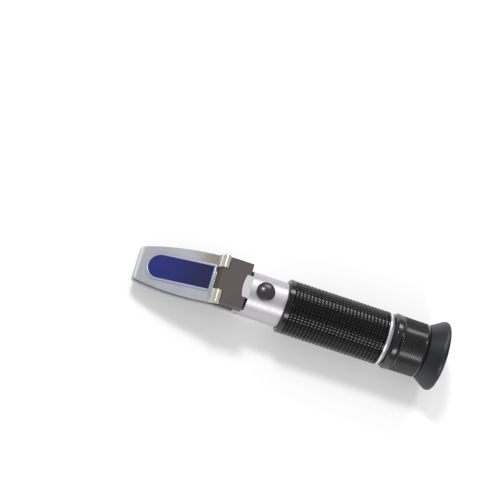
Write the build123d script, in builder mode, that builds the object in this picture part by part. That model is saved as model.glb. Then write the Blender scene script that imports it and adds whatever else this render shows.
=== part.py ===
"""Handheld refractometer, lying on the bench with its daylight plate shut.

All sizes are in millimetres. The optical axis runs along X, from the prism head at -X to the
eyecup at +X, and the daylight plate faces +Z. Z is zero under the eyecup's rim.
Stations are distances along the optical axis from the tip of the head. Heights are measured
from the optical axis.
"""
import os
from math import atan2, cos, sin, tan

from build123d import *

os.makedirs("parts", exist_ok=True)

# Clearances
seat_gap = 0.02
run_gap = 0.05
soft_gap = 0.3
play_gap = 0.15

# Lengths along the optical axis
head_length = 60.5
collar_length = 20.1
grip_length = 56.6
ring_length = 2.6
focus_gap = 0.6
focus_length = 19.6
cup_length = 10.1

# Radii of the barrel
collar_r = 12.3
collar_bore_r = 9.3
tube_r = 12.6
tube_bore_r = 8.5
sight_bore_r = 7.6
grip_r = 14.75
ring_rear_r = 13.35
focus_front_r = 15.45
focus_knurl_r = 15.1
focus_rear_r = 14.85
cup_rim_r = 19.35
cup_neck_r = 14.4

# Stations
collar_s = head_length
grip_s = collar_s + collar_length + soft_gap
ring_s = grip_s + grip_length + soft_gap
focus_s = ring_s + ring_length + focus_gap
focus_end_s = focus_s + focus_length
cup_s = focus_end_s + soft_gap
total_length = cup_s + cup_length

# Daylight plate, on a plane that slopes down towards the tip
plate_tip_h = -6.3
plate_rear_h = 7.318
plate_thick = 1.8
plate_start = 0.4
plate_setback = 19.8
tip_width = 18.2
middle_width = 26.0
middle_setback = 14.5
shoulder_setback = 2.2
rear_width = 26.6
tip_corner_r = 2.2
plate_gap = 0.35

# Window pane and the raised rim around it
window_start = 6.1
window_setback = 1.2
window_width = 13.2
rim_width = 1.0
rim_rise = 0.5
pane_thick = 1.2
pane_ledge = 0.8

# Hinge
hinge_reach = 3.7
hinge_h = 10.4
knuckle_r = 2.1
knuckle_width = 6.9
ridge_r = 0.7
ridge_reach = 2.6
pin_r = 0.9
nose_width = 12.2
nose_clear = 0.3

# Hinge block
block_clear = 0.1
block_setback = 1.6
nose_setback = 0.8
nose_bevel = 2.0
block_width = 26.0
block_corner_r = 0.5
block_top_h = 11.6

# Silver frame around the prism
frame_thick = 2.6
frame_grow = 0.5
frame_top_h = 6.2

# Prism and its black housing
prism_width = 14.8
prism_proud = 0.1
prism_gap = 0.1
toe_reach = 3.0
toe_rise = 2.0
floor_h = -12.3
housing_corner_r = 4.0
housing_floor_width = 18.0
housing_nose = 2.0
housing_inset = 0.25
light_bore_r = 6.0
spigot_length = 3.0

# Collar's tongue and arms
crown_wall = 1.2
tongue_reach = 4.5
tongue_width = 12.4
tongue_bow = 1.0
tongue_drop = 0.4
tongue_thick = 1.5
arm_reach = 5.7
arm_height = 10.0
screw_setback = 2.9
screw_head_r = 1.35
screw_head_thick = 0.7
screw_shank_r = 0.8
screw_length = 3.6
slot_width = 0.45
slot_depth = 0.35
slot_over = 1.0

# Calibration screw, its rubber plug and the lens that it moves
plug_offset = 7.9
plug_r = 5.0
plug_rise = 3.0
dome_r = 9.0
stem_r = 2.6
stem_root = 1.0
counterbore_r = 2.9
counterbore_depth = 1.4
cal_head_r = 2.6
cal_head_thick = 0.65
cal_shank_r = 1.95
cal_length = 4.9
chamber_offset = 4.0
chamber_length = 9.5
carriage_r = 8.6
carriage_thick = 4.4
objective_r = 5.5
objective_thick = 3.0
strip_width = 4.0
strip_thick = 0.5
strip_height = 2.3
leaf_length = 2.4
strip_screw_r = 0.4
strip_head_r = 0.6
strip_head_thick = 0.5
strip_screw_setback = 1.0

# Reticle and ocular
reticle_setback = 6.8
reticle_thick = 1.5
reticle_ring_length = 3.5
reticle_ring_wall = 1.2
stop_gap = 0.25
cell_reach = 13.1
cell_bore_r = 7.0
cell_waist_r = 6.2
cell_flange_r = 12.4
cell_flange_thick = 1.2
cell_spigot_r = 9.1
lens_gap = 0.05
lens_bevel = 0.5
eye_lens_round = 1.5
field_lens_thick = 3.4
field_lens_setback = 2.0
eye_lens_thick = 5.2
web_thick = 3.0
retainer_r = 11.4
retainer_length = 1.6
retainer_lip = 0.6
retainer_lip_r = 6.0
guide_pin_r = 0.8
guide_offset = 7.1
guide_depth = 1.1
focus_in = 0.5
focus_out = 4.2

# Grip and focus ring surfaces
grip_teeth = 50
tooth_side = 1.25
grip_band = 3.0
grip_rear_band = 1.0
knurl_teeth = 60
knurl_side = 0.5
bead_start = 1.4
bead_end = 3.8
bead_bevel = 1.0
groove_depth = 0.6
rear_bevel = 0.3
groove_width = 1.1
knurl_width = 13.6

# Eyecup
cup_spigot_r = 13.2
cup_spigot_length = 2.4
cup_floor_thick = 0.9
cup_floor_r = 10.2
cup_inner_r = 13.0
cup_wall = 1.5
lip_length = 1.9
lip_bevel = 0.63

plate_rear_s = collar_s - plate_setback
shoulder_s = plate_rear_s - shoulder_setback
middle_s = shoulder_s - middle_setback
window_end = plate_rear_s - window_setback
hinge_s = plate_rear_s + hinge_reach
block_s = hinge_s + knuckle_r + block_clear
block_nose_s = plate_rear_s + nose_setback
block_end_s = collar_s - block_setback
tongue_s = collar_s - tongue_reach
arm_s = collar_s - arm_reach
frame_end_s = arm_s - play_gap
screw_s = collar_s - screw_setback
plug_s = collar_s + plug_offset
chamber_s = collar_s + chamber_offset
reticle_s = ring_s - reticle_setback
web_s = focus_end_s - web_thick
flange_s = web_s - run_gap - cell_flange_thick
neck_end_s = flange_s - focus_in - stop_gap
cell_s = neck_end_s - cell_reach
guide_pin_s = cell_s + guide_offset
axis_height = cup_rim_r
optical_axis = Axis((-total_length / 2, 0, axis_height), (1, 0, 0))
slope = atan2(plate_rear_h - plate_tip_h, plate_rear_s)


def side_plane():
    """Plane through the optical axis: local x is the station and local y the height."""
    return Plane(origin=(-total_length / 2, 0, axis_height), x_dir=(1, 0, 0), z_dir=(0, -1, 0))


def level_plane(height):
    """Horizontal plane: local x is the station and local y is Y."""
    origin = (-total_length / 2, 0, axis_height + height)
    return Plane(origin=origin, x_dir=(1, 0, 0), z_dir=(0, 0, 1))


def end_plane(station):
    """Plane across the optical axis: local x is Y and local y the height."""
    origin = (station - total_length / 2, 0, axis_height)
    return Plane(origin=origin, x_dir=(0, 1, 0), z_dir=(1, 0, 0))


def slope_plane(depth):
    """Plane parallel to the plate's top, so far under it: local x runs up the slope from the tip."""
    across = depth * sin(slope)
    down = depth * cos(slope)
    origin = (across - total_length / 2, 0, axis_height + plate_tip_h - down)
    return Plane(origin=origin, x_dir=(cos(slope), 0, sin(slope)), z_dir=(-sin(slope), 0, cos(slope)))


def on_slope(along, depth):
    """Station and height of a point so far up the slope and so far under the plate's top."""
    station = along * cos(slope) + depth * sin(slope)
    height = plate_tip_h + along * sin(slope) - depth * cos(slope)
    return (station, height)


def slope_station(height, depth):
    """Station at which the plane so far under the plate's top reaches a height."""
    return (height - plate_tip_h + depth / cos(slope)) / tan(slope)


def boat_outline(plane, stretch, start, end, grow):
    """The head from above: rounded tip, bowed sides and a straight rear part."""
    tip_x = start * stretch
    middle_x = middle_s * stretch
    shoulder_x = shoulder_s * stretch
    rear_x = end * stretch
    tip_y = tip_width / 2 + grow
    middle_y = middle_width / 2 + grow
    side_y = rear_width / 2 + grow
    with BuildSketch(plane) as outline:
        with BuildLine():
            Line((tip_x, -tip_y), (tip_x, tip_y))
            ThreePointArc((tip_x, tip_y), (middle_x, middle_y), (shoulder_x, side_y))
            Line((shoulder_x, side_y), (rear_x, side_y))
            Line((rear_x, side_y), (rear_x, -side_y))
            Line((rear_x, -side_y), (shoulder_x, -side_y))
            ThreePointArc((shoulder_x, -side_y), (middle_x, -middle_y), (tip_x, -tip_y))
        make_face()
        fillet(outline.vertices().group_by(Axis.X)[0], radius=tip_corner_r)
    return outline.sketch


def window_outline(plane, grow):
    """The window along the slope: round at the tip end and square at the hinge end."""
    radius = window_width / 2
    round_x = window_start / cos(slope) + radius
    end_x = window_end / cos(slope) + grow
    with BuildSketch(plane) as outline:
        with Locations(((round_x + end_x) / 2, 0)):
            Rectangle(end_x - round_x, 2 * (radius + grow))
        with Locations((round_x, 0)):
            Circle(radius + grow)
    return outline.sketch


def ear_outline():
    """One hinge ear seen from the side: it rises from the plate's rear edge to the knuckle."""
    root = on_slope(plate_rear_s / cos(slope), plate_thick)
    front = on_slope((window_end + rim_width / 2) / cos(slope), 0)
    ridge = (hinge_s - ridge_reach, hinge_h)
    under_pin = (hinge_s, hinge_h - knuckle_r)
    over_pin = (hinge_s - knuckle_r * sin(slope), hinge_h + knuckle_r * cos(slope))
    with BuildSketch(side_plane()) as outline:
        with BuildLine():
            Polyline(front, ridge, over_pin, (hinge_s, hinge_h), under_pin, root, close=True)
        make_face()
        with Locations((hinge_s, hinge_h)):
            Circle(knuckle_r)
        with Locations(ridge):
            Circle(ridge_r)
    return outline.sketch


def tongue_outline(plane, grow):
    """The collar's tongue from above, with its front edge bowed."""
    half = tongue_width / 2 + grow
    front = tongue_s - grow
    side_s = front + tongue_bow
    rear_s = collar_s + play_gap
    with BuildSketch(plane) as outline:
        with BuildLine():
            ThreePointArc((side_s, half), (front, 0), (side_s, -half))
            Polyline((side_s, -half), (rear_s, -half), (rear_s, half), (side_s, half))
        make_face()
    return outline.sketch


def crown_section(inner_r, outer_r, height):
    """Both arms of the collar seen from the end."""
    with BuildSketch(end_plane(arm_s)) as section:
        Circle(outer_r)
        Circle(inner_r, mode=Mode.SUBTRACT)
        Rectangle(2 * outer_r, height, mode=Mode.INTERSECT)
    return section.sketch


def side_seat(side, depth):
    """Plane for a side screw, so far under the collar's surface and facing outwards."""
    origin = (screw_s - total_length / 2, side * (collar_r - depth), axis_height)
    return Plane(origin=origin, z_dir=(0, side, 0))


plate_face = slope_plane(0)
under_plate = plate_thick + plate_gap
frame_bottom_h = frame_top_h - frame_thick
housing_depth = under_plate + frame_thick + seat_gap
housing_top_h = frame_bottom_h - seat_gap
housing_end_s = collar_s - play_gap
crown_inner_r = collar_r - crown_wall
upper = level_plane(0)

# Daylight plate: a sloping boat-shaped plate with a rebate for the pane and two hinge ears
plate_outline = boat_outline(plate_face, 1 / cos(slope), plate_start, plate_rear_s, 0)
window_top = window_outline(slope_plane(-rim_rise), 0)
window_rim = window_outline(plate_face, rim_width)
window_inner = window_outline(slope_plane(plate_thick), -pane_ledge)
pane_outline = window_outline(slope_plane(0), -seat_gap)
knuckle_start = nose_width / 2 + nose_clear
knuckle_centre = knuckle_start + knuckle_width / 2
ear = ear_outline()
with BuildPart() as daylight_plate:
    extrude(plate_outline, amount=-plate_thick)
    extrude(window_rim, amount=rim_rise)
    extrude(window_top, amount=-rim_rise - pane_thick, mode=Mode.SUBTRACT)
    extrude(window_inner, amount=plate_thick, mode=Mode.SUBTRACT)
    for side in (-1, 1):
        extrude(ear.moved(Location((0, side * knuckle_centre, 0))), amount=knuckle_width / 2, both=True)
    with BuildSketch(side_plane()):
        with Locations((hinge_s, hinge_h)):
            Circle(pin_r + run_gap)
    extrude(amount=rear_width, both=True, mode=Mode.SUBTRACT)
daylight_plate.part.label = "daylight_plate"
export_step(daylight_plate.part, "parts/daylight_plate.step")

with BuildPart() as window_pane:
    extrude(pane_outline, amount=-pane_thick + seat_gap)
window_pane.part.label = "window_pane"
export_step(window_pane.part, "parts/window_pane.step")

# Prism, and the pocket that clears it in the frame and in the housing
prism_depth = under_plate - prism_proud
prism_front = (window_start - rim_width) / cos(slope)
prism_rear = window_end / cos(slope)
prism_heel = (plate_rear_s, floor_h / 2)
prism_toe = (window_start + toe_reach, floor_h + toe_rise)
with BuildPart() as measuring_prism:
    with BuildSketch(side_plane()):
        with BuildLine():
            face_front = on_slope(prism_front, prism_depth)
            face_rear = on_slope(prism_rear, prism_depth)
            Polyline(face_front, face_rear, prism_heel, prism_toe, close=True)
        make_face()
    extrude(amount=prism_width / 2, both=True)
measuring_prism.part.label = "measuring_prism"
export_step(measuring_prism.part, "parts/measuring_prism.step")

with BuildPart() as prism_pocket:
    with BuildSketch(side_plane()):
        with BuildLine():
            mouth_front = on_slope(prism_front - prism_gap, -plate_thick)
            mouth_rear = on_slope(prism_rear + prism_gap, -plate_thick)
            lip_front = on_slope(prism_front - prism_gap, prism_depth)
            lip_rear = on_slope(prism_rear + prism_gap, prism_depth)
            heel = (prism_heel[0] + prism_gap, prism_heel[1] - prism_gap)
            toe = (prism_toe[0] - prism_gap, prism_toe[1] - prism_gap)
            Polyline(mouth_front, mouth_rear, lip_rear, heel, toe, lip_front, close=True)
        make_face()
    extrude(amount=prism_width / 2 + prism_gap, both=True)

# Thin silver frame: slopes under the plate and runs level under the hinge block
frame_plan = boat_outline(upper, 1.0, 0, frame_end_s, frame_grow)
with BuildPart() as prism_frame:
    with BuildSketch(side_plane()):
        with BuildLine():
            Polyline(
                on_slope(-under_plate, under_plate),
                (slope_station(frame_top_h, under_plate), frame_top_h),
                (frame_end_s, frame_top_h),
                (frame_end_s, frame_bottom_h),
                (slope_station(frame_bottom_h, under_plate + frame_thick), frame_bottom_h),
                on_slope(-under_plate, under_plate + frame_thick),
                close=True,
            )
        make_face()
    extrude(amount=rear_width, both=True)
    extrude(frame_plan, amount=2 * collar_r, both=True, mode=Mode.INTERSECT)
    add(prism_pocket.part, mode=Mode.SUBTRACT)
prism_frame.part.label = "prism_frame"
export_step(prism_frame.part, "parts/prism_frame.step")

# Relief in the head for the collar's arms, and the round rear end that they wrap
arm_clear = arm_height + 2 * play_gap
with BuildPart() as arm_relief:
    extrude(crown_section(collar_r, 2 * collar_r, 4 * collar_r), amount=head_length)
    extrude(crown_section(crown_inner_r - run_gap, 2 * collar_r, arm_clear), amount=head_length)
relief = arm_relief.part.moved(Location((-play_gap, 0, 0)))

housing_side = rear_width / 2 + frame_grow - housing_inset
housing_plan = boat_outline(upper, 1.0, 2 * housing_inset, housing_end_s, frame_grow - housing_inset)
with BuildPart() as prism_housing:
    with BuildSketch(side_plane()):
        with BuildLine():
            step_s = frame_end_s + play_gap
            Polyline(
                on_slope(-under_plate, housing_depth),
                (slope_station(housing_top_h, housing_depth), housing_top_h),
                (step_s, housing_top_h),
                (step_s, frame_top_h),
                (housing_end_s, frame_top_h),
                (housing_end_s, floor_h),
                (housing_nose, floor_h),
                close=True,
            )
        make_face()
    extrude(amount=rear_width, both=True)
    extrude(housing_plan, amount=2 * collar_r, both=True, mode=Mode.INTERSECT)
    with BuildSketch(end_plane(-collar_length)) as hull_section:
        with BuildLine():
            Polyline(
                (-housing_floor_width / 2, floor_h),
                (housing_floor_width / 2, floor_h),
                (housing_side, frame_bottom_h),
                (housing_side, collar_r),
                (-housing_side, collar_r),
                (-housing_side, frame_bottom_h),
                close=True,
            )
        make_face()
        fillet(hull_section.vertices().group_by(Axis.Z)[0], radius=housing_corner_r)
    extrude(amount=2 * total_length, mode=Mode.INTERSECT)
    add(relief, mode=Mode.SUBTRACT)
    with BuildSketch(end_plane(housing_end_s)):
        Circle(collar_bore_r - run_gap)
    extrude(amount=spigot_length)
    add(prism_pocket.part, mode=Mode.SUBTRACT)
    with BuildSketch(end_plane(prism_heel[0] - spigot_length)):
        Circle(light_bore_r)
    extrude(amount=total_length, mode=Mode.SUBTRACT)
    with BuildSketch(side_plane()):
        with Locations((screw_s, 0)):
            Circle(screw_shank_r + run_gap)
    extrude(amount=2 * collar_r, both=True, mode=Mode.SUBTRACT)
prism_housing.part.label = "prism_housing"
export_step(prism_housing.part, "parts/prism_housing.step")

# Hinge block with its nose between the ears and a notch that seats the collar's tongue
tongue_top_h = collar_r - tongue_drop
tongue_floor_h = tongue_top_h - tongue_thick
notch_plan = tongue_outline(level_plane(tongue_floor_h - seat_gap), play_gap)
with BuildPart() as hinge_block:
    with BuildSketch(level_plane(frame_top_h + seat_gap)):
        with Locations(((block_s + block_end_s) / 2, 0)):
            Rectangle(block_end_s - block_s, block_width)
        with Locations(((block_nose_s + block_s) / 2, 0)):
            Rectangle(block_s - block_nose_s, nose_width)
    extrude(amount=block_top_h - frame_top_h - seat_gap)
    nose_edge = hinge_block.edges().filter_by(Axis.Y).group_by(Axis.Z)[-1].sort_by(Axis.X)[0]
    chamfer(nose_edge, length=nose_bevel)
    rear_edges = hinge_block.edges().filter_by(Axis.Z).sort_by(Axis.X)[-2:]
    fillet(rear_edges, radius=block_corner_r)
    extrude(notch_plan, amount=collar_r, mode=Mode.SUBTRACT)
    with BuildSketch(side_plane()):
        with Locations((hinge_s, hinge_h)):
            Circle(pin_r + seat_gap)
    extrude(amount=nose_width, both=True, mode=Mode.SUBTRACT)
hinge_block.part.label = "hinge_block"
export_step(hinge_block.part, "parts/hinge_block.step")

pin_length = 2 * (knuckle_start + knuckle_width)
with BuildPart() as hinge_pin:
    with BuildSketch(side_plane()):
        with Locations((hinge_s, hinge_h)):
            Circle(pin_r)
    extrude(amount=pin_length / 2, both=True)
hinge_pin.part.label = "hinge_pin"
export_step(hinge_pin.part, "parts/hinge_pin.step")

# Front collar: tongue, arms, then the turned body with its calibration port
tongue_plan = tongue_outline(level_plane(tongue_floor_h), 0)
tube_spigot_s = chamber_s + chamber_length
with BuildPart() as front_collar:
    extrude(tongue_plan, amount=tongue_thick)
    extrude(crown_section(crown_inner_r, collar_r, arm_height), amount=collar_s - arm_s + crown_wall)
    with BuildSketch(end_plane(collar_s)):
        Circle(collar_r)
    extrude(amount=collar_length)
    with BuildSketch(end_plane(collar_s)):
        Circle(collar_bore_r)
    extrude(amount=collar_length, mode=Mode.SUBTRACT)
    with BuildSketch(level_plane(collar_r - counterbore_depth)):
        with Locations((plug_s, 0)):
            Circle(counterbore_r)
    extrude(amount=collar_r, mode=Mode.SUBTRACT)
    with BuildSketch(upper):
        with Locations((plug_s, 0)):
            Circle(cal_shank_r + run_gap)
    extrude(amount=collar_r, mode=Mode.SUBTRACT)
    with BuildSketch(side_plane()):
        with Locations((screw_s, 0)):
            Circle(screw_shank_r + run_gap)
    extrude(amount=2 * collar_r, both=True, mode=Mode.SUBTRACT)
    for side in (-1, 1):
        with BuildSketch(side_seat(side, screw_head_thick)):
            Circle(screw_head_r + run_gap)
        extrude(amount=collar_r, mode=Mode.SUBTRACT)
front_collar.part.label = "front_collar"
export_step(front_collar.part, "parts/front_collar.step")

with BuildPart() as side_screws:
    for side in (-1, 1):
        with BuildSketch(side_seat(side, screw_head_thick - seat_gap)):
            Circle(screw_head_r)
        extrude(amount=screw_head_thick - play_gap)
        with BuildSketch(side_seat(side, screw_length)):
            Circle(screw_shank_r)
        extrude(amount=screw_length - screw_head_thick + seat_gap + play_gap)
        with Locations((screw_s - total_length / 2, side * collar_r, axis_height)):
            Box(2 * screw_head_r + slot_over, 2 * (slot_depth + play_gap), slot_width, mode=Mode.SUBTRACT)
side_screws.part.label = "side_screws"
export_step(side_screws.part, "parts/side_screws.step")

# Rubber plug over the calibration screw, moulded to the collar's curve
with BuildPart() as sealing_plug:
    with BuildSketch(upper):
        with Locations((plug_s, 0)):
            Circle(plug_r)
    extrude(amount=collar_r + plug_rise)
    with Locations((plug_s - total_length / 2, 0, axis_height + collar_r + plug_rise - dome_r)):
        Sphere(dome_r, mode=Mode.INTERSECT)
    with BuildSketch(end_plane(collar_s)):
        Circle(collar_r + soft_gap)
    extrude(amount=collar_length, mode=Mode.SUBTRACT)
    stem_h = collar_r - counterbore_depth + seat_gap + cal_head_thick + soft_gap
    with BuildSketch(level_plane(stem_h)):
        with Locations((plug_s, 0)):
            Circle(stem_r)
    extrude(amount=collar_r + stem_root - stem_h)
sealing_plug.part.label = "sealing_plug"
export_step(sealing_plug.part, "parts/sealing_plug.step")

cal_seat_h = collar_r - counterbore_depth + seat_gap
with BuildPart() as calibration_screw:
    with BuildSketch(level_plane(cal_seat_h)):
        with Locations((plug_s, 0)):
            Circle(cal_head_r)
    extrude(amount=cal_head_thick)
    with BuildSketch(level_plane(cal_seat_h - cal_length)):
        with Locations((plug_s, 0)):
            Circle(cal_shank_r)
    extrude(amount=cal_length)
    with BuildSketch(level_plane(cal_seat_h + cal_head_thick - slot_depth)):
        with Locations((plug_s, 0)):
            Rectangle(2 * cal_head_r + slot_over, slot_width)
    extrude(amount=slot_depth, mode=Mode.SUBTRACT)
calibration_screw.part.label = "calibration_screw"
export_step(calibration_screw.part, "parts/calibration_screw.step")

# Lens carriage, its lens and the bimetal strip that corrects it for warmth
carriage_s = plug_s - carriage_thick / 2
carriage_end_s = carriage_s + carriage_thick
strip_mid_h = -(objective_r + carriage_r) / 2
strip_holes = [(-strip_width / 4, strip_mid_h), (strip_width / 4, strip_mid_h)]
with BuildPart() as lens_carriage:
    with BuildSketch(end_plane(carriage_s)):
        Circle(carriage_r)
        Circle(objective_r - pane_ledge, mode=Mode.SUBTRACT)
    extrude(amount=carriage_thick)
    with BuildSketch(end_plane(carriage_end_s - objective_thick - seat_gap)):
        Circle(objective_r + seat_gap)
    extrude(amount=objective_thick + seat_gap, mode=Mode.SUBTRACT)
    with BuildSketch(level_plane(objective_r + play_gap)):
        with Locations((plug_s, 0)):
            Circle(cal_shank_r + run_gap)
    extrude(amount=carriage_r, mode=Mode.SUBTRACT)
    with BuildSketch(end_plane(carriage_s)):
        with Locations(strip_holes):
            Circle(strip_screw_r + run_gap)
    extrude(amount=carriage_thick, mode=Mode.SUBTRACT)
lens_carriage.part.label = "lens_carriage"
export_step(lens_carriage.part, "parts/lens_carriage.step")

with BuildPart() as objective_lens:
    with BuildSketch(end_plane(carriage_end_s - objective_thick)):
        Circle(objective_r)
    extrude(amount=objective_thick - play_gap)
    chamfer(objective_lens.edges().group_by(Axis.X)[-1], length=lens_bevel)
objective_lens.part.label = "objective_lens"
export_step(objective_lens.part, "parts/objective_lens.step")

strip_s = carriage_end_s + seat_gap
with BuildPart() as bimetal_strip:
    with BuildSketch(end_plane(strip_s)):
        with Locations((0, strip_mid_h)):
            Rectangle(strip_width, strip_height)
        with Locations(strip_holes):
            Circle(strip_screw_r + run_gap, mode=Mode.SUBTRACT)
    extrude(amount=strip_thick)
    with BuildSketch(end_plane(strip_s)):
        with Locations((0, strip_mid_h + (strip_height - strip_thick) / 2)):
            Rectangle(strip_width, strip_thick)
    extrude(amount=leaf_length)
bimetal_strip.part.label = "bimetal_strip"
export_step(bimetal_strip.part, "parts/bimetal_strip.step")

with BuildPart() as strip_screws:
    with BuildSketch(end_plane(strip_s + strip_thick + seat_gap)):
        with Locations(strip_holes):
            Circle(strip_head_r)
    extrude(amount=strip_head_thick)
    with BuildSketch(end_plane(carriage_s + strip_screw_setback)):
        with Locations(strip_holes):
            Circle(strip_screw_r)
    extrude(amount=strip_s + strip_thick + seat_gap - carriage_s - strip_screw_setback)
strip_screws.part.label = "strip_screws"
export_step(strip_screws.part, "parts/strip_screws.step")

# Main tube: spigot in the collar, body under the grip and threaded neck under the focus ring
tube_s = collar_s + collar_length + seat_gap
with BuildPart() as main_tube:
    with BuildSketch(side_plane()):
        with BuildLine():
            Polyline(
                (tube_spigot_s, sight_bore_r),
                (tube_spigot_s, collar_bore_r - seat_gap),
                (tube_s, collar_bore_r - seat_gap),
                (tube_s, tube_r),
                (neck_end_s, tube_r),
                (neck_end_s, tube_bore_r),
                (reticle_s, tube_bore_r),
                (reticle_s, sight_bore_r),
                close=True,
            )
        make_face()
    revolve(axis=optical_axis)
    with BuildSketch(upper):
        with Locations((guide_pin_s, 0)):
            Circle(guide_pin_r + seat_gap)
    extrude(amount=2 * tube_r, mode=Mode.SUBTRACT)
main_tube.part.label = "main_tube"
export_step(main_tube.part, "parts/main_tube.step")

with BuildPart() as guide_pin:
    with BuildSketch(level_plane(tube_bore_r - guide_depth + play_gap)):
        with Locations((guide_pin_s, 0)):
            Circle(guide_pin_r)
    extrude(amount=tube_r - tube_bore_r + guide_depth - 2 * play_gap)
guide_pin.part.label = "guide_pin"
export_step(guide_pin.part, "parts/guide_pin.step")

# Rubber grip with its lengthwise teeth between two plain bands
with BuildPart() as rubber_grip:
    with BuildSketch(end_plane(grip_s)):
        Circle(grip_r)
        Circle(tube_r + soft_gap, mode=Mode.SUBTRACT)
    extrude(amount=grip_length)
    with BuildSketch(end_plane(grip_s + grip_band)):
        with PolarLocations(grip_r, grip_teeth):
            Rectangle(tooth_side, tooth_side, rotation=45)
    extrude(amount=grip_length - grip_band - grip_rear_band, mode=Mode.SUBTRACT)
rubber_grip.part.label = "rubber_grip"
export_step(rubber_grip.part, "parts/rubber_grip.step")

with BuildPart() as rear_ring:
    with BuildSketch(side_plane()):
        with BuildLine():
            Polyline(
                (ring_s, tube_r + seat_gap),
                (ring_s, grip_r),
                (ring_s + ring_length / 3, grip_r),
                (ring_s + ring_length, ring_rear_r),
                (ring_s + ring_length, tube_r + seat_gap),
                close=True,
            )
        make_face()
    revolve(axis=optical_axis)
rear_ring.part.label = "rear_ring"
export_step(rear_ring.part, "parts/rear_ring.step")

# Reticle disc and the ring that holds it in the tube
with BuildPart() as reticle:
    with BuildSketch(end_plane(reticle_s + seat_gap)):
        Circle(tube_bore_r - run_gap)
    extrude(amount=reticle_thick)
reticle.part.label = "reticle"
export_step(reticle.part, "parts/reticle.step")

with BuildPart() as reticle_ring:
    with BuildSketch(end_plane(reticle_s + reticle_thick + 2 * seat_gap)):
        Circle(tube_bore_r - seat_gap)
        Circle(tube_bore_r - reticle_ring_wall, mode=Mode.SUBTRACT)
    extrude(amount=reticle_ring_length)
reticle_ring.part.label = "reticle_ring"
export_step(reticle_ring.part, "parts/reticle_ring.step")

# Ocular cell: slides in the tube, and its flange and retainer hold the focus ring's web
spigot_end_s = focus_end_s + retainer_length
waist_s = cell_s + lens_gap + field_lens_thick + field_lens_setback
eye_seat_s = spigot_end_s - eye_lens_thick - lens_gap
with BuildPart() as ocular_cell:
    with BuildSketch(side_plane()):
        with BuildLine():
            Polyline(
                (cell_s, cell_bore_r),
                (cell_s, tube_bore_r - run_gap),
                (flange_s, tube_bore_r - run_gap),
                (flange_s, cell_flange_r),
                (flange_s + cell_flange_thick, cell_flange_r),
                (flange_s + cell_flange_thick, cell_spigot_r),
                (spigot_end_s, cell_spigot_r),
                (spigot_end_s, cell_bore_r),
                (eye_seat_s, cell_bore_r),
                (eye_seat_s, cell_waist_r),
                (waist_s, cell_waist_r),
                (waist_s, cell_bore_r),
                close=True,
            )
        make_face()
    revolve(axis=optical_axis)
    slot_start = guide_pin_s - focus_out - guide_pin_r - play_gap
    slot_end = guide_pin_s + focus_in + guide_pin_r + play_gap
    with BuildSketch(level_plane(tube_bore_r - guide_depth)):
        with Locations(((slot_start + slot_end) / 2, 0)):
            SlotOverall(slot_end - slot_start, 2 * (guide_pin_r + run_gap))
    extrude(amount=guide_depth, mode=Mode.SUBTRACT)
ocular_cell.part.label = "ocular_cell"
export_step(ocular_cell.part, "parts/ocular_cell.step")

with BuildPart() as field_lens:
    with BuildSketch(end_plane(waist_s - lens_gap - field_lens_thick)):
        Circle(cell_bore_r - lens_gap)
    extrude(amount=field_lens_thick)
    chamfer(field_lens.edges().group_by(Axis.X)[0], length=lens_bevel)
field_lens.part.label = "field_lens"
export_step(field_lens.part, "parts/field_lens.step")

with BuildPart() as eye_lens:
    with BuildSketch(end_plane(eye_seat_s + lens_gap)):
        Circle(cell_bore_r - lens_gap)
    extrude(amount=eye_lens_thick - lens_gap)
    fillet(eye_lens.edges().group_by(Axis.X)[-1], radius=eye_lens_round)
eye_lens.part.label = "eye_lens"
export_step(eye_lens.part, "parts/eye_lens.step")

with BuildPart() as ocular_retainer:
    with BuildSketch(side_plane()):
        with BuildLine():
            lip_s = spigot_end_s + run_gap
            Polyline(
                (focus_end_s + run_gap, cell_spigot_r + seat_gap),
                (focus_end_s + run_gap, retainer_r),
                (lip_s + retainer_lip, retainer_r),
                (lip_s + retainer_lip, retainer_lip_r),
                (lip_s, retainer_lip_r),
                (lip_s, cell_spigot_r + seat_gap),
                close=True,
            )
        make_face()
    revolve(axis=optical_axis)
ocular_retainer.part.label = "ocular_retainer"
export_step(ocular_retainer.part, "parts/ocular_retainer.step")

# Focus ring: bead, groove, knurled band, inner web and the spigot that carries the eyecup
knurl_s = focus_s + bead_end + groove_width
with BuildPart() as focus_ring:
    with BuildSketch(side_plane()):
        with BuildLine():
            Polyline(
                (focus_s, tube_r + run_gap),
                (focus_s, focus_front_r - bead_bevel),
                (focus_s + bead_start, focus_front_r),
                (focus_s + bead_end, focus_front_r),
                (focus_s + bead_end + groove_width / 2, focus_knurl_r - groove_depth),
                (knurl_s, focus_knurl_r),
                (knurl_s + knurl_width, focus_knurl_r),
                (focus_end_s, focus_rear_r - rear_bevel),
                (focus_end_s, cup_spigot_r),
                (focus_end_s + cup_spigot_length, cup_spigot_r),
                (focus_end_s + cup_spigot_length, retainer_r + play_gap),
                (focus_end_s, retainer_r + play_gap),
                (focus_end_s, cell_spigot_r + run_gap),
                (web_s, cell_spigot_r + run_gap),
                (web_s, tube_r + run_gap),
                close=True,
            )
        make_face()
    revolve(axis=optical_axis)
    with BuildSketch(end_plane(knurl_s)):
        with PolarLocations(focus_knurl_r, knurl_teeth):
            Rectangle(knurl_side, knurl_side, rotation=45)
    extrude(amount=knurl_width, mode=Mode.SUBTRACT)
focus_ring.part.label = "focus_ring"
export_step(focus_ring.part, "parts/focus_ring.step")

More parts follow.
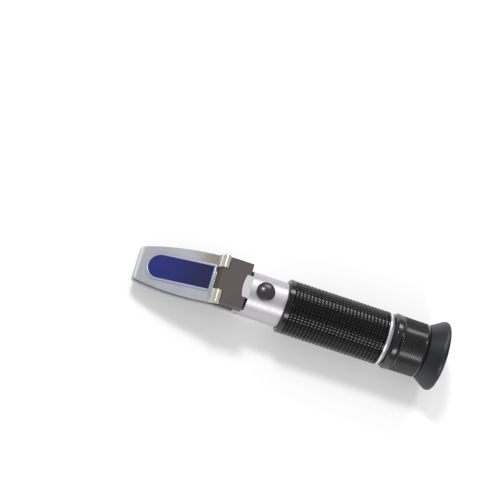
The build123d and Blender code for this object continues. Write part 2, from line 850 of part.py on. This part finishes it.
# Rubber eyecup, pushed over the focus ring's spigot
cup_floor_s = focus_end_s + cup_spigot_length + soft_gap
cup_end_s = total_length
lip_s = cup_end_s - lip_length
with BuildPart() as eyecup:
    with BuildSketch(side_plane()):
        with BuildLine():
            Polyline(
                (cup_s, cup_spigot_r + soft_gap),
                (cup_s, cup_neck_r),
                (lip_s, cup_rim_r),
                (cup_end_s - lip_bevel, cup_rim_r),
                (cup_end_s, cup_rim_r - lip_bevel),
                (cup_end_s, cup_rim_r - cup_wall),
                (cup_floor_s + cup_floor_thick, cup_inner_r),
                (cup_floor_s + cup_floor_thick, cup_floor_r),
                (cup_floor_s, cup_floor_r),
                (cup_floor_s, cup_spigot_r + soft_gap),
                close=True,
            )
        make_face()
    revolve(axis=optical_axis)
eyecup.part.label = "eyecup"
export_step(eyecup.part, "parts/eyecup.step")
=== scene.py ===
"""Handheld refractometer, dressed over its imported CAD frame.

The optical axis runs along X from the prism head to the eyecup. Sizes are in millimetres along
stations from the head's tip and heights from the optical axis, and become metres in the meshes.
"""

import logging
import math
from dataclasses import dataclass, field
from enum import Enum
from typing import Any, Union

import bpy
import numpy as np
from mathutils import Matrix, Vector

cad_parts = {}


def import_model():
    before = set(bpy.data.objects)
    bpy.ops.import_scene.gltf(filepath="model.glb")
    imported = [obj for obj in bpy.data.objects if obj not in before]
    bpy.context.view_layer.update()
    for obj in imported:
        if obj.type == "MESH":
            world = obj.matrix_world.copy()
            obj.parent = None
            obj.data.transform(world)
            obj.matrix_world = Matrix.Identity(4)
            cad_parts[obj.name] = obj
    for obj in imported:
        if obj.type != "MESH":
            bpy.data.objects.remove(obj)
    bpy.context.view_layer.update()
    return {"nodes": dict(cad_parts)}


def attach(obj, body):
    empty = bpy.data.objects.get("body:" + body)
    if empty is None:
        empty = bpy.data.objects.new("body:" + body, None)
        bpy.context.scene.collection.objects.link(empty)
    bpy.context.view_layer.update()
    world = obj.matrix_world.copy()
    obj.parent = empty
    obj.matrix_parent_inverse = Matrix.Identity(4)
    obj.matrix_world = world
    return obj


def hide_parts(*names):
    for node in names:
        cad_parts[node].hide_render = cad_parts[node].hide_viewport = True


LOG = logging.getLogger("refractometer")
# Metres in a millimetre, then the tip's place along X and the optical axis's height in millimetres
MM = 0.001
TIP_X = -85.5
AXIS_Z = 19.35
# Largest share of a side that a rounded corner takes, and its number of points
MOST_OF_SIDE = 0.45
CORNER_POINTS = 5
Number = Union[float, int]


def linear(red: int, green: int, blue: int) -> tuple[float, float, float]:
    """Turn a display colour into the linear colour that shaders take.

    Args:
        red: Red from 0 to 255.
        green: Green from 0 to 255.
        blue: Blue from 0 to 255.

    Returns:
        The linear colour, each part from 0 to 1.
    """
    parts = np.array([red, green, blue]) / 255
    low = parts / 12.92
    high = ((parts + 0.055) / 1.055) ** 2.4
    return tuple(float(v) for v in np.where(parts <= 0.04045, low, high))


class Wire:
    """One output socket. Sums, differences and products of wires add Math nodes."""

    def __init__(self, graph: "Graph", socket: bpy.types.NodeSocket) -> None:
        """Keep the graph that owns the socket and the socket itself."""
        self.graph = graph
        self.socket = socket

    def _math(self, operation: str, first: "Wire | Number", second: "Wire | Number") -> "Wire":
        """Add one Math node and return its result."""
        node = self.graph.add("ShaderNodeMath", {"operation": operation}, {0: first, 1: second})
        return Wire(self.graph, node.outputs[0])

    def __add__(self, other: "Wire | Number") -> "Wire":
        """Sum of two values."""
        return self._math("ADD", self, other)

    def __radd__(self, other: Number) -> "Wire":
        """Sum with the number first."""
        return self._math("ADD", other, self)

    def __sub__(self, other: "Wire | Number") -> "Wire":
        """Difference of two values."""
        return self._math("SUBTRACT", self, other)

    def __rsub__(self, other: Number) -> "Wire":
        """Difference with the number first."""
        return self._math("SUBTRACT", other, self)

    def __mul__(self, other: "Wire | Number") -> "Wire":
        """Product of two values."""
        return self._math("MULTIPLY", self, other)

    def __rmul__(self, other: Number) -> "Wire":
        """Product with the number first."""
        return self._math("MULTIPLY", other, self)


class Graph:
    """A material's node tree, with one method for every node that isn't plain arithmetic."""

    def __init__(self, name: str) -> None:
        """Make an empty material of that name."""
        self.material = bpy.data.materials.new(name)
        self.material.use_nodes = True
        self.tree = self.material.node_tree
        self.tree.nodes.clear()

    def add(self, kind: str, settings: dict | None = None, inputs: dict | None = None) -> bpy.types.Node:
        """Add a node, set it up, then fill its sockets.

        Args:
            kind: The node's type name.
            settings: Properties of the node, set before its sockets are touched.
            inputs: Values or wires by socket name or number.

        Returns:
            The new node.
        """
        node = self.tree.nodes.new(kind)
        for key, value in (settings or {}).items():
            setattr(node, key, value)
        for key, value in (inputs or {}).items():
            if isinstance(value, Wire):
                self.tree.links.new(value.socket, node.inputs[key])
            else:
                node.inputs[key].default_value = value
        return node

    def wire(
        self,
        kind: str,
        settings: dict | None = None,
        inputs: dict | None = None,
        output: Any = 0,
    ) -> Wire:
        """Add a node and return one of its outputs, by name or number, as a wire."""
        return Wire(self, self.add(kind, settings, inputs).outputs[output])

    def place(self) -> Wire:
        """Object coordinates, which are metres in the shared frame."""
        return self.wire("ShaderNodeTexCoord", output="Object")

    def stretched(self, scale: tuple[float, float, float]) -> Wire:
        """Object coordinates multiplied by a scale for each axis."""
        return self.wire("ShaderNodeMapping", None, {"Vector": self.place(), "Scale": scale})

    def noise(self, vector: Wire, detail: float = 3.0) -> Wire:
        """Noise from 0 to 1 at a vector that is already scaled."""
        sockets = {"Vector": vector, "Scale": 1.0, "Detail": detail, "Roughness": 0.55}
        return self.wire("ShaderNodeTexNoise", None, sockets)

    def blend(self, factor: Wire, first: "Wire | tuple", second: tuple) -> Wire:
        """Colour between a colour or wire and a second colour by a factor."""
        start = first if isinstance(first, Wire) else (*first, 1.0)
        return self.wire("ShaderNodeMix", {"data_type": "RGBA"}, {0: factor, 6: start, 7: (*second, 1.0)}, 2)

    def reach(self, axis: str, start: float, end: float) -> Wire:
        """A value that goes from 0 to 1 between two places on an axis, in metres."""
        value = self.wire("ShaderNodeSeparateXYZ", None, {"Vector": self.place()}, axis)
        settings = {"interpolation_type": "SMOOTHSTEP"}
        return self.wire("ShaderNodeMapRange", settings, {"Value": value, "From Min": start, "From Max": end})

    def surface(self, shader: Wire) -> bpy.types.Material:
        """Connect the shader to the output and return the material."""
        self.add("ShaderNodeOutputMaterial", None, {"Surface": shader})
        return self.material


class Grain(Enum):
    """How a finish's fine texture lies, as the scale of its noise along X, Y and Z."""

    MOULDED = (2600.0, 2600.0, 2600.0)
    TURNED = (5200.0, 60.0, 60.0)
    BRUSHED = (90.0, 4200.0, 900.0)
    SMOOTH = (700.0, 700.0, 700.0)


@dataclass(frozen=True)
class Tint:
    """A second colour that comes in along the axis, and across it where that is given."""

    colour: tuple[float, float, float]
    stations: tuple[float, float]
    across: tuple[float, float] | None = None
    most: float = 1.0

    def over(self, graph: Graph, colour: Wire) -> Wire:
        """Lay the tint over a colour.

        Args:
            graph: The material's graph.
            colour: The colour so far.

        Returns:
            The tinted colour.
        """
        first, last = ((TIP_X + station) * MM for station in self.stations)
        amount = graph.reach("X", first, last) * self.most
        if self.across:
            amount = amount * graph.reach("Y", self.across[0] * MM, self.across[1] * MM)
        return graph.blend(amount, colour, self.colour)


@dataclass(frozen=True)
class Finish:
    """A surface finish: a colour that drifts a little, and fine grain in gloss and relief."""

    name: str
    colour: tuple[float, float, float]
    roughness: float = 0.5
    metallic: float = 0.0
    drift: float = 0.12
    grain: Grain = Grain.MOULDED
    relief: float = 0.08
    coat: float = 0.0
    transmission: float = 0.0
    ior: float = 1.5
    tints: tuple[Tint, ...] = ()
    broad_scale: float = 110.0
    gloss_grain: float = 0.5
    gloss_drift: float = 0.1
    coat_roughness: float = 0.15
    bump_distance: float = 0.0002

    def shades(self) -> tuple[tuple, tuple]:
        """The darkest and lightest colour that the drift reaches."""
        dark = tuple(v * (1 - self.drift) for v in self.colour)
        light = tuple(min(1.0, v * (1 + self.drift)) for v in self.colour)
        return dark, light

    def material(self) -> bpy.types.Material:
        """Build the node material.

        Returns:
            The material, its drift from broad noise and its grain from fine noise.
        """
        graph = Graph(self.name)
        broad = graph.noise(graph.stretched((self.broad_scale,) * 3))
        fine = graph.noise(graph.stretched(self.grain.value), 2.0)
        dark, light = self.shades()
        colour = graph.blend(broad, dark, light)
        for tint in self.tints:
            colour = tint.over(graph, colour)
        grain = (fine - 0.5) * (self.gloss_grain * self.roughness)
        sockets = {
            "Base Color": colour,
            "Roughness": self.roughness + grain + (broad - 0.5) * self.gloss_drift,
            "Metallic": self.metallic,
            "IOR": self.ior,
            "Coat Weight": self.coat,
            "Coat Roughness": self.coat_roughness,
            "Transmission Weight": self.transmission,
        }
        if self.relief:
            bump = {"Height": fine, "Strength": self.relief, "Distance": self.bump_distance}
            sockets["Normal"] = graph.wire("ShaderNodeBump", None, bump)
        return graph.surface(graph.wire("ShaderNodeBsdfPrincipled", None, sockets))


class Finishes:
    """Every finish of the instrument, made once."""

    def __init__(self) -> None:
        """Build all materials by name."""
        made = [
            Finish("grip_rubber", linear(16, 16, 18), roughness=0.18, drift=0.2, relief=0.02),
            Finish("cup_rubber", linear(20, 21, 26), roughness=0.42, drift=0.15, relief=0.05),
            Finish("plug_rubber", linear(44, 38, 44), roughness=0.3, relief=0.05, coat=0.3),
            Finish("collar_metal", linear(188, 186, 189), roughness=0.44, metallic=0.75, drift=0.05,
                   grain=Grain.TURNED, relief=0.05),
            Finish("ring_metal", linear(224, 224, 228), roughness=0.28, metallic=0.6, drift=0.04,
                   grain=Grain.TURNED, relief=0.03),
            Finish("frame_metal", linear(172, 172, 178), roughness=0.36, metallic=0.8, drift=0.05,
                   grain=Grain.BRUSHED, relief=0.04),
            Finish("pin_steel", linear(190, 188, 180), roughness=0.28, metallic=1.0, drift=0.05,
                   grain=Grain.BRUSHED, relief=0.04),
            Finish("housing_plastic", linear(18, 18, 21), roughness=0.4),
            Finish("block_plastic", linear(72, 62, 63), roughness=0.42, relief=0.1, tints=(
                Tint(linear(74, 66, 54), stations=(44.4, 43.4)),
            )),
            Finish("focus_black", linear(13, 13, 15), roughness=0.22, drift=0.15, grain=Grain.TURNED,
                   relief=0.04, coat=0.3),
            Finish("black_anodised", linear(18, 18, 20), roughness=0.36, metallic=0.3, drift=0.1,
                   grain=Grain.TURNED, relief=0.04),
            Finish("plate_plastic", linear(176, 177, 184), roughness=0.2, metallic=0.3, drift=0.06,
                   grain=Grain.SMOOTH, relief=0.03, coat=0.5, tints=(
                # Painted highlight: the plate's tip edge is lightened where light catches it
                Tint(linear(232, 234, 240), stations=(2.6, 0.6)),
                Tint(linear(132, 116, 98), stations=(26.0, 38.0), across=(5.5, 9.0), most=0.75),
                Tint(linear(188, 186, 174), stations=(40.4, 41.6)),
            )),
            Finish("rim_plastic", linear(160, 170, 198), roughness=0.18, metallic=0.1, drift=0.04,
                   grain=Grain.SMOOTH, relief=0.0, coat=0.6),
            Finish("pane_plastic", linear(24, 34, 112), roughness=0.1, grain=Grain.SMOOTH,
                   relief=0.0, coat=0.35, tints=(
                Tint(linear(20, 16, 66), stations=(12.0, 38.0)),
            )),
            Finish("prism_blue", linear(60, 82, 178), roughness=0.05, drift=0.04, relief=0.0,
                   transmission=0.35, ior=1.6),
            Finish("lens_coated", linear(205, 220, 235), roughness=0.03, drift=0.03, relief=0.0,
                   transmission=0.95),
            Finish("plain_brass", linear(190, 160, 90), roughness=0.3, metallic=1.0, drift=0.06,
                   grain=Grain.TURNED, relief=0.05),
        ]
        self.by_name = {finish.name: finish.material() for finish in made}

    def __getitem__(self, name: str) -> bpy.types.Material:
        """One material by its finish's name."""
        return self.by_name[name]


def mesh_piece(name: str, points: np.ndarray, faces: np.ndarray, sharp: float = 35.0) -> bpy.types.Object:
    """Make an object at the origin from whole arrays, with its faces turned outwards.

    Args:
        name: The piece's name.
        points: Corner positions in metres, one row each.
        faces: Corner numbers of the quads, one row each.
        sharp: Angle in degrees above which an edge stays hard.

    Returns:
        The new object, linked to the scene.
    """
    corner = points[faces]
    around = np.cross(corner[:, 2] - corner[:, 0], corner[:, 3] - corner[:, 1])
    if np.sum(corner.mean(1) * around) < 0:
        faces = faces[:, ::-1]
    mesh = bpy.data.meshes.new(name)
    mesh.vertices.add(len(points))
    mesh.vertices.foreach_set("co", np.ascontiguousarray(points, np.float32).ravel())
    mesh.loops.add(faces.size)
    mesh.loops.foreach_set("vertex_index", np.ascontiguousarray(faces, np.int32).ravel())
    mesh.polygons.add(len(faces))
    mesh.polygons.foreach_set("loop_start", np.arange(0, faces.size, faces.shape[1], dtype=np.int32))
    mesh.update(calc_edges=True)
    mesh.validate()
    mesh.polygons.foreach_set("use_smooth", np.ones(len(mesh.polygons), bool))
    mesh.set_sharp_from_angle(angle=math.radians(sharp))
    piece = bpy.data.objects.new(name, mesh)
    bpy.context.scene.collection.objects.link(piece)
    return piece


def grid_faces(rows: int, columns: int) -> np.ndarray:
    """Quads of a grid that closes on itself both ways.

    Each quad joins a corner to its next column, next row and next column, and next row.

    Args:
        rows: Number of rows, the last joined to the first.
        columns: Number of columns, the last joined to the first.

    Returns:
        Corner numbers, four to a row.
    """
    row, column = np.meshgrid(np.arange(rows), np.arange(columns), indexing="ij")
    below, beside = (row + 1) % rows, (column + 1) % columns
    here, next_row = row * columns, below * columns
    corners = [here + column, here + beside, next_row + beside, next_row + column]
    return np.stack(corners, -1).reshape(-1, 4)


def rounded(profile: list[tuple[float, float]], radius: float, points: int = CORNER_POINTS) -> np.ndarray:
    """Round every corner of a closed profile.

    Each corner is replaced by a quadratic curve that starts and ends so far from it along its two
    sides, or at 45 percent of a shorter side. The curve of a corner is its start times the square
    of what is left, plus its corner times twice the product, plus its end times the square of t.

    Args:
        profile: Corners as (station, radius) in millimetres.
        radius: Distance from the corner at which the curve starts, in millimetres.
        points: Number of points in each curve.

    Returns:
        The rounded profile, one point to a row.
    """
    corner = np.array(profile, float)
    back, ahead = np.roll(corner, 1, 0) - corner, np.roll(corner, -1, 0) - corner
    back_length = np.linalg.norm(back, axis=1, keepdims=True)
    ahead_length = np.linalg.norm(ahead, axis=1, keepdims=True)
    start = corner + back / back_length * np.minimum(radius, MOST_OF_SIDE * back_length)
    end = corner + ahead / ahead_length * np.minimum(radius, MOST_OF_SIDE * ahead_length)
    t = np.linspace(0, 1, points)[None, :, None]
    curve = (1 - t) ** 2 * start[:, None] + 2 * t * (1 - t) * corner[:, None] + t**2 * end[:, None]
    return curve.reshape(-1, 2)


def turned(
    name: str,
    stations: np.ndarray,
    radii: np.ndarray,
    columns: int,
    sharp: float = 35.0,
) -> bpy.types.Object:
    """Carry a closed profile around the optical axis.

    Every point lies at its station, at its radius times the cosine and sine of its angle.

    Args:
        name: The piece's name.
        stations: Station of each row in millimetres.
        radii: Radius of each row, or of each row and column, in millimetres.
        columns: Number of columns around the axis.
        sharp: Angle in degrees above which an edge stays hard.

    Returns:
        The new object.
    """
    radii = radii if radii.ndim == 2 else np.repeat(radii[:, None], columns, 1)
    angle = np.linspace(0, 2 * math.pi, columns, endpoint=False)[None, :]
    x = np.repeat(stations[:, None] + TIP_X, columns, 1)
    y, z = radii * np.cos(angle), AXIS_Z + radii * np.sin(angle)
    points = np.stack([x, y, z], -1).reshape(-1, 3) * MM
    return mesh_piece(name, points, grid_faces(len(stations), columns), sharp)


def tent(value: np.ndarray) -> np.ndarray:
    """A wave of period 1 that is 0 at whole numbers and 1 half-way between them."""
    return 1 - np.abs(2 * (value % 1.0) - 1)


@dataclass
class Part:
    """What every sub-assembly shares: its finishes and a way to finish a piece."""

    finishes: Finishes

    def dress(self, piece: bpy.types.Object, finish: str, body: str, slot: str, *nodes: str) -> None:
        """Finish a new piece, seat it on its body and let it stand for CAD nodes.

        Args:
            piece: The new piece.
            finish: The finish's name.
            body: The CAD body that it rides on.
            slot: The record's material slot, which is not used.
            nodes: The CAD nodes that it replaces.
        """
        piece.data.materials.append(self.finishes[finish])
        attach(piece, body)
        if nodes:
            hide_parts(*nodes)
        LOG.info("%s: %d faces on %s", piece.name, len(piece.data.polygons), body)

    def paint(self, nodes: dict[str, bpy.types.Object], finish: str, *names: str) -> None:
        """Give CAD nodes a finish in every material slot."""
        for name in names:
            node = nodes[name]
            if not node.material_slots:
                node.data.materials.append(None)
            for place in node.material_slots:
                place.material = self.finishes[finish]
            LOG.info("%s: CAD node in %s", name, finish)


@dataclass
class Lid(Part):
    """Bright raised rim around the blue pane of the daylight plate."""

    slope: float = math.atan2(13.618, 40.7)
    tip_height: float = -6.3
    window_start: float = 6.1
    window_end: float = 39.5
    half_width: float = 6.6
    inner: float = -0.04
    outer: float = 1.04
    top: float = 0.56
    bottom: float = 0.02
    edge_round: float = 0.3
    round_points: int = 49

    def rim(self) -> bpy.types.Object:
        """Build the rim.

        A rounded band is carried around the window's outline. Each point lies its offset along the
        outline's outward direction and its height square to the plate's slope.

        Returns:
            The rim.
        """
        corners = [(self.inner, self.bottom), (self.inner, self.top), (self.outer, self.top),
                   (self.outer, self.bottom)]
        profile = rounded(corners, self.edge_round)
        rise, run = math.sin(self.slope), math.cos(self.slope)
        angle = np.linspace(0.5 * math.pi, 1.5 * math.pi, self.round_points)
        spoke = np.stack([np.cos(angle), np.sin(angle)], -1)
        centre = self.window_start / run + self.half_width
        rear = self.window_end / run
        round_part = np.array([centre, 0.0]) + self.half_width * spoke
        path = np.concatenate([round_part, [[rear, -self.half_width], [rear, self.half_width]]])
        outward = np.concatenate([spoke, [[1.0, -1.0], [1.0, 1.0]]])
        flat = path[None] + outward[None] * profile[:, None, :1]
        along, across = flat[..., 0], flat[..., 1]
        height = np.repeat(profile[:, 1:], len(path), 1)
        x = TIP_X + along * run - height * rise
        z = AXIS_Z + self.tip_height + along * rise + height * run
        points = np.stack([x, across, z], -1).reshape(-1, 3) * MM
        return mesh_piece("window_rim", points, grid_faces(len(profile), len(path)), sharp=40.0)

    def build(self) -> None:
        """Make and dress the rim."""
        self.dress(self.rim(), "rim_plastic", "daylight_lid", "plate_clear")


@dataclass
class Grip(Part):
    """Rubber grip with pyramids between two plain bands, and the silver ring behind it."""

    start: float = 80.9
    length: float = 56.6
    outer: float = 14.75
    inner: float = 12.9
    first_row: float = 3.2
    last_row: float = 0.9
    rows: int = 26
    around: int = 50
    depth: float = 0.72
    flat: float = 0.6
    samples: int = 4
    front_round: float = 0.35
    rear_round: float = 0.3
    rear_lead: float = 0.2
    ring_start: float = 137.8
    ring_length: float = 2.6
    ring_flat: float = 0.9
    ring_rear: float = 13.35
    ring_bore: float = 12.62
    ring_round: float = 0.15
    ring_columns: int = 128

    def pyramids(self) -> bpy.types.Object:
        """Build the sleeve.

        The radius is the outer radius less the depth times one minus the pyramid, and the pyramid
        is the lesser of two tent waves, one along the axis and one around it, cut flat at the top.

        Returns:
            The sleeve.
        """
        toothed = self.length - self.first_row - self.last_row
        steps, columns = self.rows * self.samples, self.around * self.samples
        along = np.linspace(0, self.rows, steps + 1)
        around = np.linspace(0, self.around, columns, endpoint=False)
        peak = np.minimum(tent(along)[:, None], tent(around)[None, :])
        height = np.minimum(peak, self.flat) / self.flat
        radii = self.outer - self.depth * (1 - height)
        stations = self.start + self.first_row + along / self.rows * toothed
        start, end = self.start, self.start + self.length
        front = np.array([
            [start, self.inner],
            [start, self.outer - self.front_round],
            [start + self.front_round, self.outer],
            [start + self.first_row - self.front_round, self.outer],
        ])
        rear = np.array([
            [end - self.last_row + self.rear_lead, self.outer],
            [end - self.rear_round, self.outer],
            [end, self.outer - self.rear_round],
            [end, self.inner],
        ])
        plain = [np.repeat(part[:, 1:], columns, 1) for part in (front, rear)]
        all_stations = np.concatenate([front[:, 0], stations, rear[:, 0]])
        all_radii = np.concatenate([plain[0], radii, plain[1]])
        return turned("grip_sleeve", all_stations, all_radii, columns, sharp=25.0)

    def ring(self) -> bpy.types.Object:
        """Build the bevelled ring behind the grip from its rounded profile."""
        start, end = self.ring_start, self.ring_start + self.ring_length
        profile = [(start, self.ring_bore), (start, self.outer), (start + self.ring_flat, self.outer),
                   (end, self.ring_rear), (end, self.ring_bore)]
        points = rounded(profile, self.ring_round)
        return turned("silver_ring", points[:, 0], points[:, 1], self.ring_columns)

    def build(self) -> None:
        """Make and dress the grip and its ring."""
        self.dress(self.pyramids(), "grip_rubber", "barrel", "rubber_grip", "rubber_grip")
        self.dress(self.ring(), "ring_metal", "barrel", "ring_silver", "rear_ring")


@dataclass
class Eyepiece(Part):
    """Focus ring with its fine knurling, and the flared rubber eyecup."""

    start: float = 141.0
    end: float = 160.6
    front_radius: float = 15.45
    knurl_radius: float = 15.1
    rear_radius: float = 14.85
    bead_start: float = 1.4
    bead_end: float = 3.8
    bead_bevel: float = 1.0
    groove: float = 0.6
    knurl_foot: float = 0.1
    front_round: float = 0.2
    knurl_start: float = 4.9
    knurl_length: float = 13.6
    ridges: int = 72
    ridge_depth: float = 0.38
    knurl_rows: int = 10
    knurl_taper: float = 0.08
    knurl_fade: float = 0.5
    samples: int = 4
    rear_bevel: float = 0.3
    rear_round: float = 0.12
    bore: float = 12.65
    web: float = 157.6
    web_bore: float = 9.15
    spigot_radius: float = 13.2
    spigot_end: float = 163.0
    spigot_bore: float = 11.55
    cup_start: float = 160.9
    cup_end: float = 171.0
    cup_neck: float = 14.4
    cup_bore: float = 13.5
    cup_hollow: float = 13.0
    floor_bore: float = 10.2
    floor_front: float = 163.3
    floor_back: float = 164.2
    rim_radius: float = 19.35
    lip: tuple[tuple[float, float], ...] = ((2.6, 0.25), (1.3, 0.0), (0.4, 0.35), (0.0, 0.95), (0.3, 1.6))
    cup_round: float = 0.7
    cup_steps: int = 6
    cup_columns: int = 160

    def ring(self) -> bpy.types.Object:
        """Build the focus ring.

        The radius in the knurled band falls by the ridge depth times one minus the lesser of two
        tent waves that cross on the diagonals, faded in and out over the band's first and last half
        millimetre.

        Returns:
            The ring.
        """
        columns, steps = self.ridges * self.samples, self.knurl_rows * self.samples + 1
        start, knurl_start = self.start, self.start + self.knurl_start
        knurl_end = knurl_start + self.knurl_length
        front_corners = [
            (start, self.bore),
            (start, self.front_radius - self.bead_bevel),
            (start + self.bead_start, self.front_radius),
            (start + self.bead_end, self.front_radius),
            (start + self.bead_end + self.groove, self.knurl_radius - self.groove),
            (knurl_start, self.knurl_radius - self.knurl_foot),
            (self.web, self.bore),
        ]
        rear_corners = [
            (knurl_end, self.knurl_radius),
            (self.end, self.rear_radius - self.rear_bevel),
            (self.end, self.spigot_radius),
            (self.spigot_end, self.spigot_radius),
            (self.spigot_end, self.spigot_bore),
            (self.end, self.spigot_bore),
            (self.end, self.web_bore),
            (self.web, self.web_bore),
            (self.web, self.bore),
        ]
        front = rounded(front_corners, self.front_round)[:-CORNER_POINTS]
        rear = rounded(rear_corners, self.rear_round)[CORNER_POINTS:]
        band = np.linspace(knurl_start, knurl_end, steps)
        taper = np.linspace(self.knurl_radius, self.knurl_radius - self.knurl_taper, steps)
        fade = np.clip(np.minimum(band - band[0], band[-1] - band) / self.knurl_fade, 0, 1)
        around = np.linspace(0, self.ridges, columns, endpoint=False)[None, :]
        along = np.linspace(0, self.knurl_rows, steps)[:, None]
        wave = np.minimum(tent(around + along), tent(around - along))
        knurl = taper[:, None] - self.ridge_depth * fade[:, None] * (1 - wave)
        stations = np.concatenate([front[:, 0], band, rear[:, 0]])
        plain = [np.repeat(part[:, 1:], columns, 1) for part in (front, rear)]
        radii = np.concatenate([plain[0], knurl, plain[1]])
        return turned("focus_knob", stations, radii, columns, sharp=30.0)

    def cup(self) -> bpy.types.Object:
        """Build the eyecup from its rounded profile: thin neck, straight flare and thick lip."""
        lip = [(self.cup_end - back, self.rim_radius - inward) for back, inward in self.lip]
        profile = [(self.cup_start, self.cup_bore), (self.cup_start, self.cup_neck), *lip,
                   (self.floor_back, self.cup_hollow), (self.floor_back, self.floor_bore),
                   (self.floor_front, self.floor_bore), (self.floor_front, self.cup_bore)]
        points = rounded(profile, self.cup_round, self.cup_steps + 1)
        return turned("eyecup_shell", points[:, 0], points[:, 1], self.cup_columns, sharp=50.0)

    def build(self) -> None:
        """Make and dress the focus ring and the eyecup."""
        self.dress(self.ring(), "focus_black", "eyepiece", "aluminium_black", "focus_ring")
        self.dress(self.cup(), "cup_rubber", "eyepiece", "rubber_cup", "eyecup")


@dataclass
class Carried(Part):
    """The CAD nodes that are shown as they are, with the finish of each."""

    painted: dict[str, tuple[str, ...]] = field(default_factory=lambda: {
        "collar_metal": ("front_collar",),
        "pin_steel": ("hinge_pin", "side_screws", "guide_pin", "strip_screws", "bimetal_strip"),
        "frame_metal": ("prism_frame",),
        "housing_plastic": ("prism_housing",),
        "block_plastic": ("hinge_block",),
        "plug_rubber": ("sealing_plug",),
        "plate_plastic": ("daylight_plate",),
        "pane_plastic": ("window_pane",),
        "prism_blue": ("measuring_prism",),
        "lens_coated": ("objective_lens", "field_lens", "eye_lens", "reticle"),
        "black_anodised": ("main_tube", "lens_carriage", "reticle_ring", "ocular_cell", "ocular_retainer",
                           "focus_ring"),
        "plain_brass": ("calibration_screw",),
        "grip_rubber": ("rubber_grip",),
        "cup_rubber": ("eyecup",),
        "ring_metal": ("rear_ring",),
    })

    def build(self, nodes: dict[str, bpy.types.Object]) -> None:
        """Finish every CAD node."""
        for finish, names in self.painted.items():
            self.paint(nodes, finish, *names)


@dataclass(frozen=True)
class Lamp:
    """A soft rectangular lamp that faces its aim, in metres and watts."""

    name: str
    place: tuple[float, float, float]
    size: tuple[float, float]
    watts: float
    aim: tuple[float, float, float] = (0.0, 0.0, 0.02)

    def build(self) -> None:
        """Add the lamp to the scene."""
        data = bpy.data.lights.new(self.name, "AREA")
        data.shape, data.energy = "RECTANGLE", self.watts
        data.size, data.size_y = self.size
        lamp = bpy.data.objects.new(self.name, data)
        lamp.location = self.place
        lamp.rotation_mode = "QUATERNION"
        lamp.rotation_quaternion = (Vector(self.aim) - Vector(self.place)).to_track_quat("-Z", "Y")
        bpy.context.scene.collection.objects.link(lamp)


@dataclass
class Studio:
    """Floor, soft lamps, pale world and the camera at the photograph's angle."""

    image_size: int = 500
    focal_pixels: float = 1500.0
    sensor: float = 36.0
    distance: float = 803.0
    back: tuple[float, float, float] = (-0.12, -0.34, 0.93)
    axis_tilt: float = 18.4
    anchor_station: float = 80.6
    anchor_pixel: tuple[float, float] = (281.8, 305.2)
    clip: tuple[float, float] = (0.01, 20.0)
    floor_half: float = 3.0
    floor_drop: float = 0.0004
    floor_grey: float = 0.95
    floor_glow: float = 0.12
    world_strength: float = 0.4
    lamps: tuple[Lamp, ...] = (
        Lamp("key", (-0.25, 0.35, 0.75), (0.16, 0.16), 3.0),
        Lamp("side", (0.12, -0.68, 0.5), (0.6, 0.22), 2.8),
        Lamp("rim", (0.12, 0.66, 0.5), (0.4, 0.2), 2.2),
    )

    def camera(self) -> None:
        """Place the camera.

        The camera looks along minus back. Its right is turned so that the optical axis runs down to
        the right by the tilt, and it stands where the anchor point falls on its pixel.
        """
        back = np.array(self.back) / np.linalg.norm(self.back)
        along = np.array([1.0, 0.0, 0.0])
        along = along - back * (along @ back)
        along /= np.linalg.norm(along)
        across = np.cross(back, along)
        tilt = math.radians(self.axis_tilt)
        right = math.cos(tilt) * along + math.sin(tilt) * across
        up = np.cross(back, right)
        anchor = np.array([TIP_X + self.anchor_station, 0.0, AXIS_Z])
        middle = self.image_size / 2
        side = (self.anchor_pixel[0] - middle) / self.focal_pixels * self.distance
        rise = (middle - self.anchor_pixel[1]) / self.focal_pixels * self.distance
        place = (anchor - right * side - up * rise + back * self.distance) * MM
        data = bpy.data.cameras.new("camera")
        data.sensor_width = self.sensor
        data.lens = self.focal_pixels / self.image_size * self.sensor
        data.clip_start, data.clip_end = self.clip
        camera = bpy.data.objects.new("camera", data)
        turn = Matrix((right, up, back)).transposed().to_4x4()
        camera.matrix_world = Matrix.Translation(Vector(place)) @ turn
        bpy.context.scene.collection.objects.link(camera)
        bpy.context.scene.camera = camera

    def floor(self) -> None:
        """Lay a plain pale floor just under the instrument, left out of the exported model."""
        half, low = self.floor_half, -self.floor_drop
        points = np.array([[-half, -half, low], [half, -half, low], [half, half, low], [-half, half, low]])
        graph = Graph("floor_pale")
        sockets = {
            "Base Color": (self.floor_grey, self.floor_grey, self.floor_grey, 1.0),
            "Roughness": 0.9,
            "Emission Color": (1.0, 1.0, 1.0, 1.0),
            "Emission Strength": self.floor_glow,
        }
        shader = graph.wire("ShaderNodeBsdfPrincipled", None, sockets)
        floor = mesh_piece("floor", points, np.array([[0, 1, 2, 3]]))
        floor.data.materials.append(graph.surface(shader))

    def world(self) -> None:
        """Surround the scene with even white light."""
        world = bpy.data.worlds.new("studio")
        world.use_nodes = True
        background = world.node_tree.nodes["Background"]
        background.inputs["Color"].default_value = (1.0, 1.0, 1.0, 1.0)
        background.inputs["Strength"].default_value = self.world_strength
        bpy.context.scene.world = world

    def build(self) -> None:
        """Make the floor, the world, the lamps and the camera."""
        self.floor()
        self.world()
        for lamp in self.lamps:
            lamp.build()
        bpy.context.scene.view_settings.view_transform = "Standard"
        self.camera()


def main() -> None:
    """Load the frame and build every sub-assembly in order, logging each piece."""
    logging.basicConfig(level=logging.INFO, format="%(name)s %(message)s")
    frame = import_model()
    finishes = Finishes()
    Carried(finishes).build(frame["nodes"])
    Lid(finishes).build()
    Grip(finishes).build()
    Eyepiece(finishes).build()
    Studio().build()
    LOG.info("sizes written")


if __name__ == "__main__":
    main()
